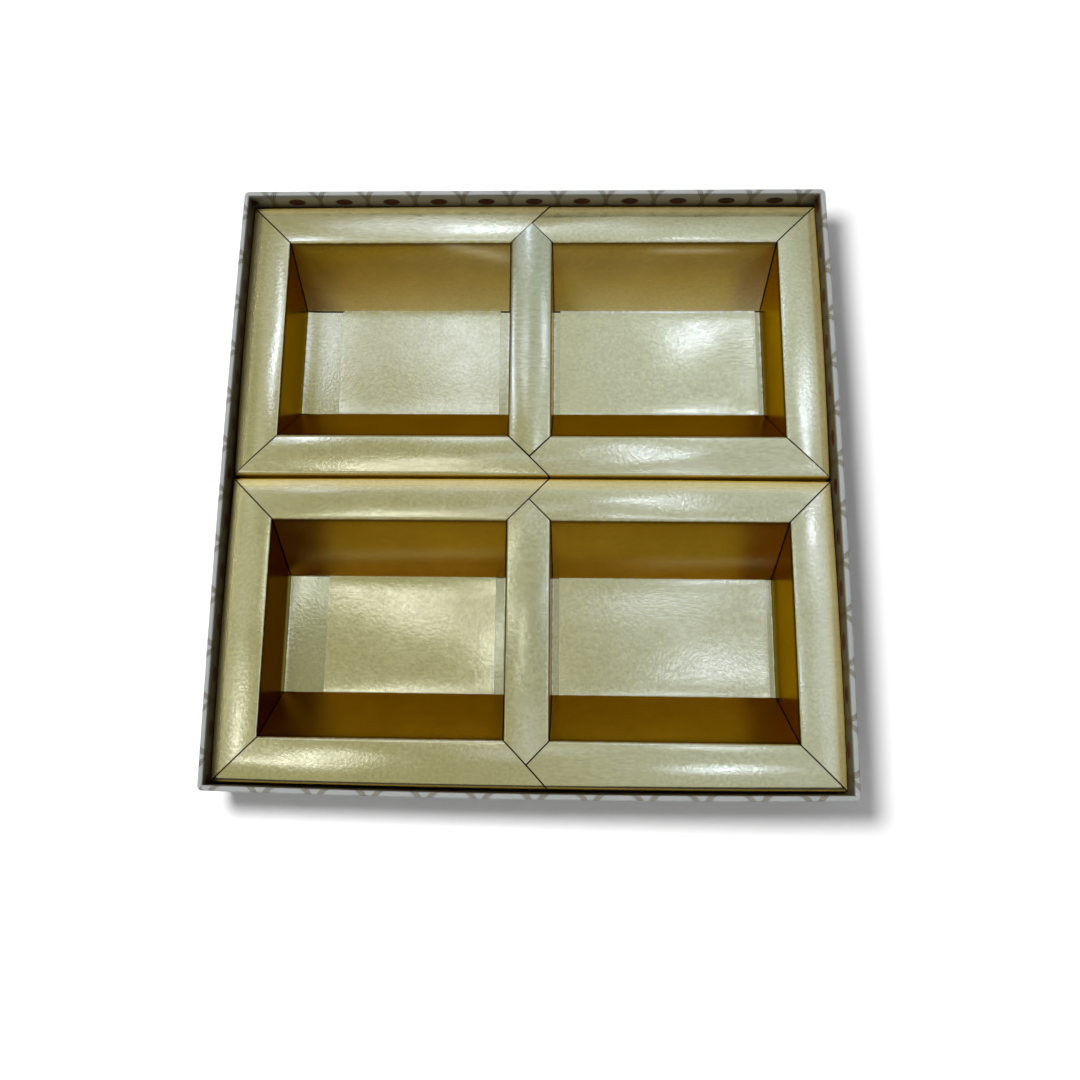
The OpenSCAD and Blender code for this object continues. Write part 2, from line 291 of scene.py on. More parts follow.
def bowed(tray, x, y):
    """Moves the rims outwards by bow * (1 - p^2) * s^2, where p runs from -1 to 1 along a rim
    and s from 0 at its inner crease to 1 at its outer fold. x and y are from the tray's middle."""
    front, back = FOLD_BOW[tray]
    s = np.clip((np.abs(y) - CREASE_Y) / RIM_W, 0, 1)
    p = np.clip(2 * x / TRAY_W, -1, 1)
    move_y = np.sign(y) * np.where(y > 0, back, front) * (1 - p**2) * s**2
    s = np.clip((np.abs(x) - CREASE_X) / RIM_W, 0, 1)
    p = np.clip(2 * y / TRAY_D, -1, 1)
    move_x = np.sign(x) * SIDE_FOLD_BOW * (1 - p**2) * s**2
    return x + move_x, y + move_y


CURL, CURL_FADE = 0.36, 3.0


def curl(x):
    """How far a floor rises towards a side wall: curl * exp(-distance / fade)."""
    return CURL * np.exp(-np.maximum(CREASE_X - SIDE_LEAN - np.abs(x), 0) / CURL_FADE)

# %% [markdown]
# ## Where the board looks different
#
# Film on a wall mirrors film on the next wall, so it looks deeper in colour than on a rim, and that
# deeper colour is painted on. A wall lies in shade right below its top crease, which is painted on
# too. The outer folds of the rims are rubbed, and a deeper colour is painted on them for the shade
# in the gaps beside them. Each strip stores such things as numbers at its points, and the gold
# finish reads them.

# %% Tone of the board
# The z of a surface's normal: a board below LEVEL_UP is no longer level, and one below STEEP_UP
# is a wall. Then widths in millimetres, and shares.
LEVEL_UP, FADE_UP, STEEP_UP = 0.97, 0.3, 0.75
SHADE_END, OUTER_BAND, SOFT_WIDTH = 1.8, 3.0, 3.0
# The second share shrinks the distance to a crease on the rear floor, so that its worn dashes and
# painted glint reach wider
OUTER_MATTE, REAR_FLOOR_WEAR_AND_GLINT = 0.75, 0.4


def deep(normal_up, amount):
    """Amount, faded in as the sheet turns from level. For colour, it is the painted depth that
    stands in for light bounced between gold walls and for shade.
    """
    t = np.clip((LEVEL_UP - normal_up) / FADE_UP, 0, 1)
    return amount * t * t * (3 - 2 * t)


def under_crease(z, normal_up, outer):
    """1 on a wall right below its top crease, where it lies in shade, and 0 further down."""
    return np.clip(SHADE_END - (RIM_Z - z), 0, 1) * (normal_up < STEEP_UP) * ~outer


def worn_and_glint_distance(tray, z, to_fold, outer):
    """Distance to a crease, for its worn dashes and the painted glint along them. On the rear
    tray's floor both reach more widely, and the outer folds, which are out of reach, get neither."""
    return to_fold * np.where((z < 5) & (tray == "rear"), REAR_FLOOR_WEAR_AND_GLINT, 1.0) + outer


def stand_for(piece, tray, parts):
    """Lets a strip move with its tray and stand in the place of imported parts."""
    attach(piece, f"{tray}_tray")
    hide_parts(*[f"{tray}_tray_{part}" for part in parts])
    return piece

# %% [markdown]
# ## The long strip of a tray
#
# One strip runs from the left skirt to the right skirt. It makes both side rims, both side
# walls, the two floors and the divider between them. Its width follows from how far a point is
# across the tray: the side rims widen outwards at 45 degrees, and the divider ends in points.

# %% Long strip in section
RIM_POINTS, WALL_POINTS, FLOOR_POINTS, DIVIDER_POINTS, LONG_STRIP_COLUMNS = 29, 13, 121, 25, 65
LONG_STRIP_CUTS = [0.9, 0.7, 0.25, 0.25, 0.7]


def side_line(roll):
    """Left half of the long strip in section, from the skirt to the divider's top crease."""
    foot_x = CREASE_X - SIDE_LEAN
    inner_x = HALF_DIVIDER + DIVIDER_LEAN
    along = np.linspace(0, 1, WALL_POINTS)[:, None]
    u = np.linspace(RIM_W, 0, RIM_POINTS)
    skirt, top = skirt_and_rim(TRAY_W / 2, CREASE_X, u, along, roll)
    wall = top[-1] + along * ([-foot_x, FLOOR_Z + curl(foot_x)] - top[-1])
    floor_x = np.linspace(-foot_x, -inner_x, FLOOR_POINTS)
    floor = np.stack([floor_x, FLOOR_Z + curl(floor_x)], 1)
    inner = [-inner_x, FLOOR_Z] + along * [DIVIDER_LEAN, RIM_Z - FLOOR_Z]
    return [skirt, top, wall, floor, inner]

# %% Long strips
# Painted depth of colour, for light bounced between gold walls and for shade, of the left and
# right walls, of the divider's walls and of the outer folds
SIDE_WALL_PAINTED_DEPTH = {"rear": (1.65, 1.05), "front": (2.0, 1.15)}
DIVIDER_WALL_PAINTED_DEPTH, OUTER_FOLD_PAINTED_DEPTH = 0.9, 1.2
# Dullness of the left floor, then the painted shade along the divider: at its middle, and what v
# and v^2 add along it
DULL_AND_DIVIDER_SHADE = {"rear": (0.3, 0.6, 0.6, 0.0), "front": (0.9, 0.45, 0.0, -0.5)}
RIGHT_FLOOR_DULL = 0.75
# From here outwards a side rim's band is rougher, partly matte and painted deeper for the shade
# beside it
SIDE_RIM_SOFT_FROM = 10.0


def long_strip(tray, left_roll, right_roll, crown, seed):
    """Lays the line out along x and z and gives it its width along y. The half width is that of
    the compartment, plus the distance past the side crease, plus the distance inside the
    divider's edge."""
    left, right = side_line(left_roll), mirrored(side_line(right_roll))
    p = np.linspace(-1, 1, DIVIDER_POINTS)
    top = np.stack([p * HALF_DIVIDER, RIM_Z + crown * (1 - p**2)], 1)
    cuts = LONG_STRIP_CUTS + LONG_STRIP_CUTS[::-1]
    line, to_fold = folded_line(left + [top] + right, cuts)
    normal = line_normals(line)
    x, z = line.T
    floor = z < 5
    half = CREASE_Y - SLIT + np.maximum(np.abs(x) - CREASE_X, 0)
    half = half + np.maximum(HALF_DIVIDER - np.abs(x), 0) * (z > RIM_Z - 2)
    v = np.linspace(-1, 1, LONG_STRIP_COLUMNS)
    y = half[:, None] * v
    wave = waves(x[:, None], y, seed, to_fold, floor, 0.3)
    bow_x, bow_y = bowed(tray, x[:, None] + 0 * y, y)
    good = np.stack([
        bow_x + normal[:, :1] * wave, bow_y + TRAY_Y[tray], z[:, None] + normal[:, 1:] * wave
    ], 2)
    push = np.stack([normal[:, 0], 0 * x, normal[:, 1]], 1)[:, None, :] * FOIL_T
    cells = np.ones((len(x) - 1, len(v) - 1), bool)
    piece, _, used = sheet_mesh(f"{tray}_tray_long_strip", good, good - push, cells)

    outer = np.abs(x) > CREASE_X + RIM_W - OUTER_BAND
    # Painted depth of colour for bounced light and shade: side walls, divider walls, outer folds
    wall_painted_depth = np.where(x < 0, *SIDE_WALL_PAINTED_DEPTH[tray])
    painted_depth = np.where(np.abs(x) < 20, DIVIDER_WALL_PAINTED_DEPTH, wall_painted_depth)
    painted_depth = np.where(outer, OUTER_FOLD_PAINTED_DEPTH, painted_depth)
    left_floor, middle, slope, ends = DULL_AND_DIVIDER_SHADE[tray]
    floor_dull = np.where(x > 20, RIGHT_FLOOR_DULL, left_floor) * floor
    # Painted shade along the divider, from its middle towards its ends
    on_divider = (z > 20) & (np.abs(x) < HALF_DIVIDER + 1)
    divider_dull = np.clip(middle + slope * v + ends * v**2, 0, 1)
    point_values(
        piece, used, y.shape,
        to_crease=worn_and_glint_distance(tray, z, to_fold, outer)[:, None],
        to_edge=half[:, None] * (1 - np.abs(v)),
        deep=deep(normal[:, 1], painted_depth)[:, None],
        matte=deep(normal[:, 1], OUTER_MATTE * outer)[:, None],
        under=under_crease(z, normal[:, 1], outer)[:, None],
        dull=floor_dull[:, None] + on_divider[:, None] * divider_dull,
        soft=np.clip((np.abs(x) - CREASE_X - SIDE_RIM_SOFT_FROM) / SOFT_WIDTH, 0, 1)[:, None],
    )
    parts = [f"{side}_{leg}" for leg in ("rim", "wall", "floor") for side in ("left", "right")]
    return stand_for(piece, tray, parts + ["divider"])


long_strips = [
    long_strip("rear", left_roll=0.7, right_roll=0.7, crown=0.5, seed=11),
    long_strip("front", left_roll=0.35, right_roll=0.4, crown=0.15, seed=12),
]

# %% [markdown]
# ## The cross strips
#
# Two more strips per tray run from front to back, one in each compartment: skirt, rim, sloping
# wall, floor panel, sloping wall, rim and skirt. The floor panel is narrower than the walls, so
# the cells beside it are left out of the grid. On the left strip the inner end of a rim is one
# long mitre. On the right strip it comes to a point.

# %% Cross strip in section
FOOT_Y = CREASE_Y - END_LEAN * (RIM_Z - PANEL_Z) / WALL_H
SLOPE_POINTS, PANEL_POINTS = 17, 45
PANEL_GAP = 0.03
PANEL_BEND, PANEL_BEND_FADE = 0.2, 3.0
CROSS_STRIP_CUTS = [1.1, 0.7, 0.25, 0.25, 0.7, 1.1]


def cross_line(front_roll, back_roll):
    """A cross strip in section, from the front skirt over the panel to the rear skirt. Beside
    its two creases the panel curves up by bend * exp(-distance / fade)."""
    u = np.unique(np.append(np.linspace(RIM_W, 0, RIM_POINTS), HALF_DIVIDER))[::-1]
    along = np.linspace(0, 1, SLOPE_POINTS)[:, None]
    front, back = (
        skirt_and_rim(TRAY_D / 2, CREASE_Y, u, along, roll) for roll in (front_roll, back_roll)
    )
    back = mirrored(back)
    y = np.linspace(-FOOT_Y, FOOT_Y, PANEL_POINTS)
    bend = np.exp((-y - FOOT_Y) / PANEL_BEND_FADE) + np.exp((y - FOOT_Y) / PANEL_BEND_FADE)
    panel = np.stack([y, PANEL_Z + PANEL_GAP + PANEL_BEND * bend], 1)
    front_wall = front[-1][-1] + along * (panel[0] - front[-1][-1])
    back_wall = panel[-1] + along * (back[0][0] - panel[-1])
    return folded_line(front + [front_wall, panel, back_wall] + back, CROSS_STRIP_CUTS)


def panel_edges(side):
    """Where a floor panel ends along x, outwards and inwards, from the middle of the tray."""
    outwards, inwards = PANEL_EDGES[side]
    return CREASE_X - SIDE_LEAN - outwards, HALF_DIVIDER + DIVIDER_LEAN + inwards

# %% Painted depth of colour and streaks of light on the cross strips
# Back walls: painted depth of colour, for bounced light and shade, at the foot and at the top, and
# the painted shade that the left end adds
BACK_WALL_PAINTED_DEPTH = {
    "rear left": (0.0, 0.8, 0.5), "rear right": (0.0, 1.0, 0.0),
    "front left": (0.50, 0.85, 0.0), "front right": (0.45, 0.80, 0.0),
}
# Painted depth of colour, for bounced light and shade, of the front walls and of the outer folds
FRONT_WALL_PAINTED_DEPTH, CROSS_FOLD_PAINTED_DEPTH = 1.15, 1.3
BACK_WALL_MATTE = {"rear": 0.5, "front": 0.0}
# From here outwards a back rim's band is rougher, partly matte and painted deeper for the shade
# beside it
BACK_RIM_SOFT_FROM = 9.5
# Streaks of light on the back walls: middle and half length along x, height at the middle and
# its slope per millimetre, half width in height, strength
STREAKS = {
    "rear left": (-20.0, 14.0, 0.86, -0.009, 0.07, 0.45),
    "rear right": (57.0, 15.0, 0.875, 0.0, 0.022, 0.9),
    "front left": (-40.0, 34.0, 0.40, 0.001, 0.10, 0.20),
    "front right": (60.0, 26.0, 0.30, 0.001, 0.09, 0.22),
}


def light_streak(place, x, height):
    """A soft-ended stroke: strength * exp(-along^4 - across^2), with along and across counted in
    half lengths and half widths."""
    middle_x, half_x, at_height, slope, half_height, strength = STREAKS[place]
    across = (height - at_height - slope * (x - middle_x)) / half_height
    return strength * np.exp(-((x - middle_x) / half_x) ** 4 - across**2)

# %% Cross strips
# Columns of the grid outside the panel, on it and inside it
COLUMN_COUNTS = (9, 60, 5)


def cross_strip(tray, side, front_roll, back_roll, seed):
    """Lays the line out along y and z and gives it its ends along x. Outwards the rim follows
    the mitre, at a distance of u past the crease. The wall keeps inside the leaning side walls."""
    place, sign = f"{tray} {side}", {"left": -1, "right": 1}[side]
    line, to_fold = cross_line(front_roll, back_roll)
    normal = line_normals(line)
    y, z = line.T
    u = np.maximum(np.abs(y) - CREASE_Y, 0)
    h = np.clip((RIM_Z - z) / WALL_H, 0, 1) * (u == 0)
    out_end = CREASE_X - SIDE_LEAN * h + u - SLIT
    if side == "left":
        in_end = HALF_DIVIDER + DIVIDER_LEAN * h - u + SLIT
    else:
        tip = np.where(u > 0, np.abs(u - HALF_DIVIDER), HALF_DIVIDER)
        in_end = tip + DIVIDER_LEAN * h + SLIT
    panel_out, panel_in = panel_edges(side)
    marks = [out_end, np.full_like(y, panel_out), np.full_like(y, panel_in), in_end]
    steps = [np.linspace(0, 1, n, endpoint=False)[None, :] for n in COLUMN_COUNTS]
    x = sign * np.concatenate(
        [a[:, None] + (b - a)[:, None] * t for a, b, t in zip(marks, marks[1:], steps)]
        + [in_end[:, None]], 1
    )
    on_panel = np.abs(y) < FOOT_Y - 0.02
    columns = np.arange(x.shape[1] - 1)
    beside = (columns < COLUMN_COUNTS[0]) | (columns >= sum(COLUMN_COUNTS[:2]))
    cells = ~(on_panel[:-1] & on_panel[1:])[:, None] | ~beside[None, :]
    wave = waves(x, y[:, None], seed, to_fold, z < 6, 0.6)
    bow_x, bow_y = bowed(tray, x, y[:, None] + 0 * x)
    up = normal[:, 1:] * wave + curl(x) * on_panel[:, None]
    good = np.stack([bow_x, bow_y + normal[:, :1] * wave + TRAY_Y[tray], z[:, None] + up], 2)
    push = np.stack([0 * y, normal[:, 0], normal[:, 1]], 1)[:, None, :] * FOIL_T
    name = f"{tray}_tray_{side}_cross_strip"
    piece, _, used = sheet_mesh(name, good, good - push, cells)

    edge = np.minimum(out_end[:, None] - sign * x, sign * x - in_end[:, None])
    panel_edge = 0.25 + np.minimum(panel_out - sign * x, sign * x - panel_in)
    outer = u > RIM_W - OUTER_BAND
    height = np.clip((z - PANEL_Z) / WALL_H, 0, 1)
    # Painted depth of colour for bounced light and shade, with painted shade added towards the left
    # end
    low_painted_depth, high_painted_depth, left_painted_shade = BACK_WALL_PAINTED_DEPTH[place]
    from_left = (x - x.min(1)[:, None]) / np.ptp(x, axis=1)[:, None]
    painted_depth = (low_painted_depth + (high_painted_depth - low_painted_depth) * height)[:, None] + left_painted_shade * (1 - from_left)
    painted_depth = np.where(y[:, None] < 0, FRONT_WALL_PAINTED_DEPTH, painted_depth)
    painted_depth = np.where(outer[:, None], CROSS_FOLD_PAINTED_DEPTH, painted_depth)
    back_wall = (y > 0) & (z < RIM_Z - 0.5) & (z > PANEL_Z + 0.5)
    foot_matte = BACK_WALL_MATTE[tray] * (1 - height) ** 1.5 * (y > 0)
    matte = np.where(outer, OUTER_MATTE, foot_matte)
    point_values(
        piece, used, x.shape,
        to_crease=worn_and_glint_distance(tray, z, to_fold, outer)[:, None],
        to_edge=np.abs(np.where(on_panel[:, None], panel_edge, edge)),
        deep=deep(normal[:, 1:], painted_depth),
        streak=light_streak(place, x, height[:, None]) * back_wall[:, None],
        soft=(np.clip((u - BACK_RIM_SOFT_FROM) / SOFT_WIDTH, 0, 1) * (y > 0))[:, None],
        matte=deep(normal[:, 1], matte)[:, None],
        under=under_crease(z, normal[:, 1], outer)[:, None],
    )
    parts = [f"{end}_{side}_{leg}" for leg in ("rim", "wall") for end in ("back", "front")]
    return stand_for(piece, tray, parts + [f"{side}_panel"])


cross_strips = [
    cross_strip("rear", "left", front_roll=0.45, back_roll=0.45, seed=21),
    cross_strip("rear", "right", front_roll=0.3, back_roll=0.8, seed=22),
    cross_strip("front", "left", front_roll=0.6, back_roll=0.45, seed=23),
    cross_strip("front", "right", front_roll=0.8, back_roll=0.45, seed=24),
]

# %% [markdown]
# ## The printed wrap
#
# One sheet of paper goes up the outside of the box, over the rim and down the inside. It is a
# short line in section, carried round the bowed outline. Its map is unrolled wall by wall, so
# that the printed pattern runs over the rim as it does on real paper.

# %% Outline of the box
WALL_STEPS, CORNER_STEPS = 48, 8
PER_WALL = WALL_STEPS + CORNER_STEPS
SMALLEST_CORNER = 0.3
WALL_LENGTHS = np.array([BOX_W, BOX_D, BOX_W, BOX_D])


def outline(inset):
    """Points of the bowed outline moved in by inset, anticlockwise from the front left. A wall
    bows by h * (1 - p^2) at place p from -1 to 1, and a corner is a quarter circle."""
    inset = np.asarray(inset, float)[:, None]
    r = np.maximum(CORNER_R - inset, SMALLEST_CORNER)
    across = BOX_W / 2 - inset - r
    along = BOX_D / 2 - inset - r
    p = np.linspace(-1, 1, WALL_STEPS + 1)[None, :]
    turn = np.radians(90 * np.arange(1, CORNER_STEPS) / CORNER_STEPS)[None, :]
    xs, ys = [], []
    for k, (sx, sy) in enumerate(((1, -1), (1, 1), (-1, 1), (-1, -1))):
        half, bow = (along, (FRONT_BOW, 0)[k // 2]) if k % 2 == 0 else (across, SIDE_BOW)
        run = across if k % 2 == 0 else along
        reach = half + r + bow * (1 - p**2)
        a = turn + math.radians(90 * k - 90)
        wall = ((p * run, -reach), (reach, p * run), (-p * run, reach), (-reach, -p * run))[k]
        xs += [wall[0] + 0 * r, sx * across + r * np.cos(a)]
        ys += [wall[1] + 0 * r, sy * along + r * np.sin(a)]
    return np.concatenate(xs, 1), np.concatenate(ys, 1) + MIDDLE_Y

# %% Wrap in section
RIM_EDGE_R = 0.5
OUTER_ROWS, EDGE_ROWS, TOP_ROWS, INNER_ROWS = 17, 9, 5, 13
# The grid's row where the map's height is 0, on the rim's flat top
TOP_ROW = OUTER_ROWS + EDGE_ROWS + 1


def wrap_line(thick):
    """The wrap in section as (inset, height), thick below its printed face."""
    r = RIM_EDGE_R - thick
    a = np.radians(np.linspace(0, 90, EDGE_ROWS))
    centre_z = BOX_H - RIM_EDGE_R
    inner_z = np.linspace(BOX_H - 0.6, BOX_H - TURN_IN, INNER_ROWS)
    return np.concatenate([
        np.stack([np.full(OUTER_ROWS, thick), np.linspace(0, BOX_H - 0.55, OUTER_ROWS)], 1),
        np.stack([RIM_EDGE_R - r * np.cos(a), centre_z + r * np.sin(a)], 1),
        np.stack([np.linspace(0.6, WALL_T - 0.6, TOP_ROWS), np.full(TOP_ROWS, BOX_H - thick)], 1),
        np.stack([WALL_T - RIM_EDGE_R + r * np.sin(a), centre_z + r * np.cos(a)], 1),
        np.stack([np.full(INNER_ROWS, WALL_T - thick), inner_z], 1),
    ])


wrap_size = np.linalg.norm(np.diff(wrap_line(0.0), axis=0), axis=1).sum()
print("wrap in section:", round(wrap_size, 1), "mm long")

# %% Printed wrap
# In millimetres, for the front, right, rear and left walls: where the pattern lies along the wall
# and over the rim, where past the rim's outer edge the paper is half in shade, the shade's fade
PATTERN_ALONG = np.array([5.64, 3.0, 0.7, 1.0])
PATTERN_OVER = np.array([-5.7, 5.3, 5.3, 5.3])
SHADE_DEPTH = np.array([1.8, 1.6, 6.0, 1.4])
SHADE_FADE = np.array([2.0, 2.0, 5.0, 1.6])
CORNER_SHADE, CORNER_SHADE_FADE = 0.95, 2.5


def printed_wrap():
    """Carries the section round the outline. Its map is the distance along the wall and over
    the rim, in metres, counted from the middle of each wall's top edge."""
    face, rear = wrap_line(0.0), wrap_line(PAPER_T)
    grids = []
    for part in (face, rear):
        x, y = outline(part[:, 0])
        grids.append(np.stack([x, y, np.broadcast_to(part[:, 1:], x.shape)], 2))
    columns = 4 * PER_WALL
    cells = np.ones((len(face) - 1, columns), bool)
    piece, (row, col, cell), used = sheet_mesh("printed_wrap", *grids, cells, ring=True)

    x, y = (v[0] for v in outline([0.0]))
    steps = np.hypot(np.diff(x, append=x[0]), np.diff(y, append=y[0]))
    run = np.concatenate([[0], np.cumsum(steps)])
    middles = run[np.arange(4) * PER_WALL + WALL_STEPS // 2]

    def along_wall(col, cell):
        """The wall that a cell belongs to, up to half of each corner, and its place along it."""
        wall, lap = (cell + CORNER_STEPS // 2) // PER_WALL, run[-1]
        return wall % 4, run[col] - np.where(wall == 4, lap, 0) - middles[wall % 4]

    wall, place = along_wall(col, cell)
    length = np.concatenate([[0], np.cumsum(np.linalg.norm(np.diff(face, axis=0), axis=1))])
    over_rim = length - length[TOP_ROW]
    unrolled = np.stack([place + PATTERN_ALONG[wall], PATTERN_OVER[wall] - over_rim[row]], 2)
    unrolled = (unrolled * MILLIMETRE).astype(np.float32).ravel()
    piece.data.uv_layers.new(name="unrolled").data.foreach_set("uv", unrolled)

    number = np.arange(columns)
    wall, place = along_wall(number, number)
    over_rim = over_rim[:, None]
    shade = np.clip((over_rim - SHADE_DEPTH[wall]) / SHADE_FADE[wall] + 0.5, 0, 1)
    to_corner = np.maximum(WALL_LENGTHS[wall] / 2 - WALL_T - np.abs(place), 0)
    inner = np.clip(over_rim - WALL_T, 0, 1)
    corner = CORNER_SHADE * np.exp(-to_corner / CORNER_SHADE_FADE) * inner
    # inside holds the painted shade, and warm marks where a warm tint of bounced light is painted
    point_values(piece, used, corner.shape, inside=np.maximum(shade, corner), warm=inner)
    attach(piece, "box")
    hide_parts("side_wrap")
    return piece


wrap = printed_wrap()

# %% [markdown]
# ## Node helpers
#
# A finish is a small graph of nodes. These helpers make one node at a time and link it, so that
# a finish below reads like a recipe.

# %% Node helpers
class Recipe:
    """Adds nodes to one tree. Values that are sockets are linked, and others are set."""

    def __init__(self, tree):
        self.tree = tree

    def fill(self, node, values):
        """Gives named sockets of a node their values. A colour gets its alpha of 1."""
        for key, value in values.items():
            socket = node.inputs[key]
            if isinstance(value, bpy.types.NodeSocket):
                self.tree.links.new(value, socket)
            elif isinstance(value, tuple) and socket.type == "RGBA":
                socket.default_value = (*value, 1)
            else:
                socket.default_value = value
        return node

    def node(self, kind, inputs=None, **settings):
        made = self.tree.nodes.new(kind)
        for key, value in settings.items():
            setattr(made, key, value)
        return self.fill(made, inputs or {})

    def math(self, operation, a, b=0.0, c=0.0, clamp=False):
        return self.node(
            "ShaderNodeMath", {0: a, 1: b, 2: c}, operation=operation, use_clamp=clamp
        ).outputs[0]

    def times(self, a, b):
        return self.math("MULTIPLY", a, b)

    def vector(self, operation, a, b=(0, 0, 0), **more):
        return self.node(
            "ShaderNodeVectorMath", {0: a, 1: b, **more}, operation=operation
        ).outputs[0]

    def length(self, vector):
        return self.node("ShaderNodeVectorMath", {0: vector}, operation="LENGTH").outputs[1]

    def axis(self, vector, name):
        return self.node("ShaderNodeSeparateXYZ", {0: vector}).outputs[name]

    def ramp(self, value, low, high, to_low=0.0, to_high=1.0):
        """With t from 0 at low to 1 at high, goes from to_low to to_high as 3 t^2 - 2 t^3."""
        return self.node("ShaderNodeMapRange", {
            "Value": value, "From Min": low, "From Max": high, "To Min": to_low, "To Max": to_high
        }, interpolation_type="SMOOTHSTEP").outputs["Result"]

    def mix(self, factor, a, b, blend="MIX"):
        made = self.node("ShaderNodeMix", data_type="RGBA", blend_type=blend)
        return self.fill(made, {"Factor": factor, 6: a, 7: b}).outputs[2]

    def noise(self, place, scale, detail=2.0, rough=0.5):
        return self.node("ShaderNodeTexNoise", {
            "Vector": place, "Scale": scale, "Detail": detail, "Roughness": rough
        }).outputs["Fac"]

    def attribute(self, name):
        return self.node("ShaderNodeAttribute", attribute_name=name).outputs["Fac"]

    def object_place(self):
        return self.node("ShaderNodeTexCoord").outputs["Object"]

    def bump(self, height, strength, distance):
        return self.node("ShaderNodeBump", {
            "Height": height, "Strength": strength, "Distance": distance
        }).outputs[0]

    def group(self, tree, **inputs):
        made = self.tree.nodes.new("ShaderNodeGroup")
        made.node_tree = tree
        return self.fill(made, inputs).outputs

# %% Groups and materials
def node_group(name, inputs, outputs):
    """A new group with named sockets. Returns its recipe, its inputs and its output node."""
    tree = bpy.data.node_groups.new(name, "ShaderNodeTree")
    for direction, sockets in (("INPUT", inputs), ("OUTPUT", outputs)):
        for socket, kind in sockets:
            tree.interface.new_socket(socket, in_out=direction, socket_type=kind)
    return Recipe(tree), tree.nodes.new("NodeGroupInput").outputs, tree.nodes.new("NodeGroupOutput")


FLOAT, VECTOR = "NodeSocketFloat", "NodeSocketVector"


def new_material(name):
    """An empty material with its Principled shader linked to the output."""
    material = bpy.data.materials.new(name)
    material.use_nodes = True
    tree = material.node_tree
    return material, Recipe(tree), tree.nodes["Principled BSDF"]


def empty_recipe(owner):
    """A recipe for a material or the world, without the nodes that it starts with."""
    owner.use_nodes = True
    owner.node_tree.nodes.clear()
    return Recipe(owner.node_tree)

# %% [markdown]
# ## Fibres
#
# Every paper and board of the box has fibres, so their pattern is a group of nodes that all of
# those finishes share.

# %% Paper fibre
def make_fibre():
    """Height is fine fibres crossed with soft clouds. Shade is a slow change of brightness."""
    r, given, result = node_group(
        "paper fibre", [("Place", VECTOR)], [("Height", FLOAT), ("Shade", FLOAT)]
    )
    place = given["Place"]
    long_way = r.noise(r.vector("MULTIPLY", place, (500.0, 2400.0, 1400.0)), 1.0, 3.0, 0.6)
    short_way = r.noise(r.vector("MULTIPLY", place, (2400.0, 500.0, 1400.0)), 1.0, 3.0, 0.6)
    clouds = r.noise(place, 160.0, 4.0, 0.6)
    both = r.math("MAXIMUM", long_way, short_way)
    r.fill(result, {"Height": r.math("MULTIPLY_ADD", clouds, 0.5, both), "Shade": clouds})
    return r.tree


paper_fibre = make_fibre()
print("paper fibre:", len(paper_fibre.nodes), "nodes")

# %% [markdown]
# ## Gold board
#
# The good face is metal film under thin lacquer: one glossy metal layer mirrors the ceiling and
# its lamps, under a weak coat. The board's pebbled grain breaks the mirror images up a little. A
# strong bump would turn them into worms, so it is weak. The colours follow the numbers that the
# strips store at their points. On a wall the light has bounced from gold to gold, so a deeper
# colour is painted there, and the coat fades out. Painted shade darkens the rims' outer bands,
# the divider and the wall right below a crease. Rubbed outer folds and painted streaks of light on
# the back walls are partly matte. Creases wear through in dashes, which also paint a glint along
# them. The reverse is white board, and a cut edge is painted dark brown for the shade in the slit.

# %% Grain of the board
def foil_grain(r, place):
    """Height of the board's grain: pebbles of half a millimetre, which on part of the board are
    drawn out sideways. The second result is a fine streakiness from left to right."""
    pebbles = r.noise(place, 900.0, 1.5)
    drawn = r.noise(r.vector("MULTIPLY", place, (420.0, 1150.0, 800.0)), 1.0, 1.5)
    where = r.ramp(r.noise(place, 28.0, 1.0, 0.4), 0.50, 0.70)
    peel = r.math("MULTIPLY_ADD", r.math("SUBTRACT", drawn, pebbles), where, pebbles)
    streaks = r.noise(r.vector("MULTIPLY", place, (260.0, 2200.0, 1700.0)), 1.0, 3.0, 0.6)
    return peel, streaks

# %% Colours of the film
PALE_GOLD = (0.80, 0.755, 0.400), (0.84, 0.795, 0.440)
# Painted colours: rich gold for light bounced between gold walls, dark gold for deep shade
PAINTED_BOUNCE_GOLD = (0.57, 0.380, 0.035), (0.63, 0.430, 0.045)
PAINTED_DEEP_SHADE_GOLD = (0.10, 0.045, 0.004)
# Greyer gold for the dull floors and for the painted shade along the divider
DULL_AND_SHADED_GOLD = (0.60, 0.60, 0.34)
# Painted streaks of light on the back walls
LIGHT_STREAK_GOLD = (1.0, 0.90, 0.62)
# Worn dashes at creases and edges, which also stand for a painted glint along them
WORN_AND_GLINT_GOLD = (0.92, 0.88, 0.68)
SHADED_GOLD = (0.06, 0.035, 0.008)
WHITE_BOARD = (0.58, 0.56, 0.50), (0.68, 0.66, 0.60)
# A cut edge is painted dark for the shade in the slit between strips
CUT_EDGE_PAINTED_SHADE = (0.06, 0.040, 0.015)
# How much deeper the painted colour of a rim's soft outer band is, for the shade beside it
SOFT_PAINTED_SHADE = 0.45


